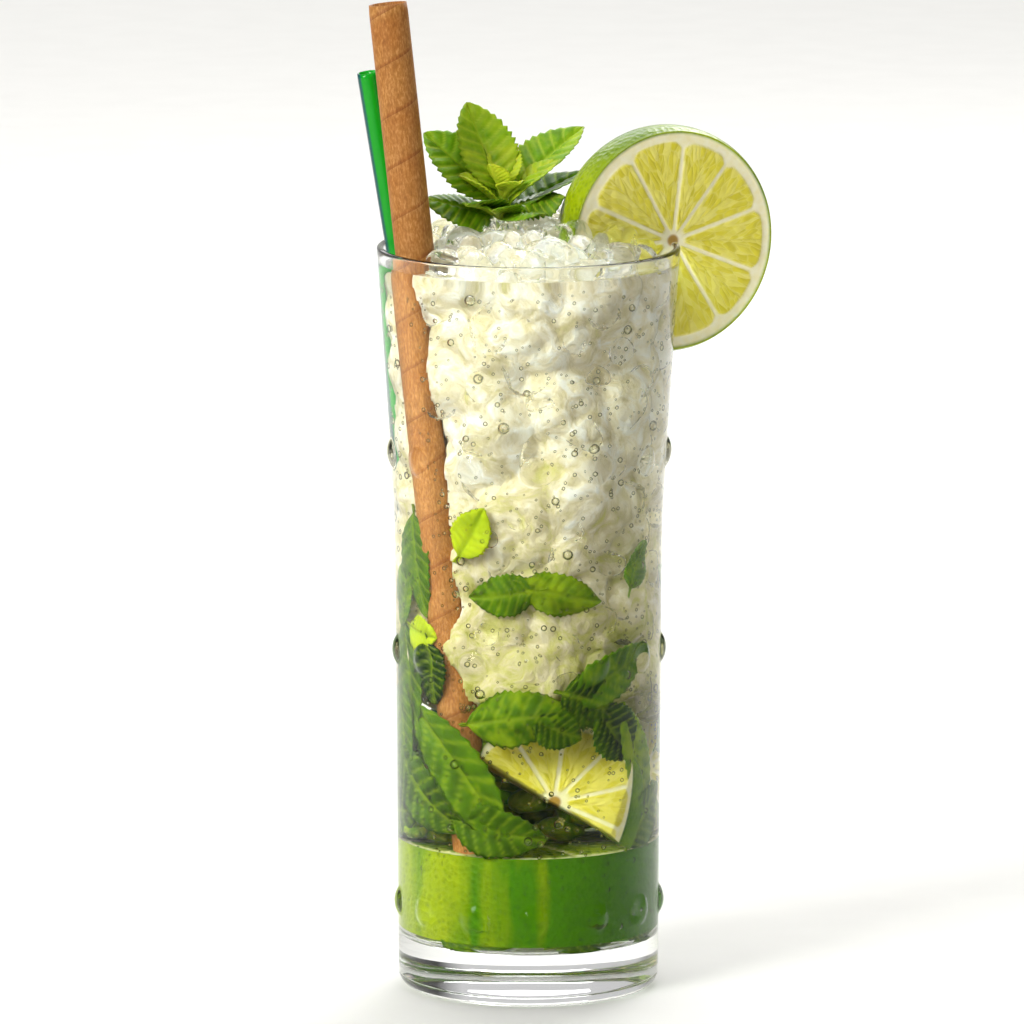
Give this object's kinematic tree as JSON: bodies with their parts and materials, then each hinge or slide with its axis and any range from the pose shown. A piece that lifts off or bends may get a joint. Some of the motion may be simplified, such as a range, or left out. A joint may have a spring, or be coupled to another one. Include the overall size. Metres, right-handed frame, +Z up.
{
  "type": "mojito cocktail",
  "caption": "Mojito in a tall studded tumbler with crushed ice, a lime wheel on the rim, a sprig of mint, a paper straw and a plastic straw.",
  "frame": {"origin": "centre of the foot of the glass, on the surface it stands on", "axes": "+Z up along the axis of the glass, -Y towards the viewer, +X to the viewer's right, where the lime wheel sits"},
  "size_m": [0.0866, 0.0632, 0.2087],
  "materials": {
    "glass": "clear pressed glass",
    "drink": "clear pale yellow-green liquid",
    "ice": "wet crushed ice",
    "paper": "matt brown kraft paper wound in a spiral",
    "plastic": "glossy translucent green",
    "lime": "wet lime flesh with a glossy green rind",
    "mint": "fresh veined leaf"
  },
  "bodies": {
    "root": {"glass": "glass", "drink": "drink", "crushed_ice": "ice", "paper_straw": "paper", "plastic_straw": "plastic", "lime_wheel": "lime", "mint_sprig": "mint"}
  },
  "joints": []
}
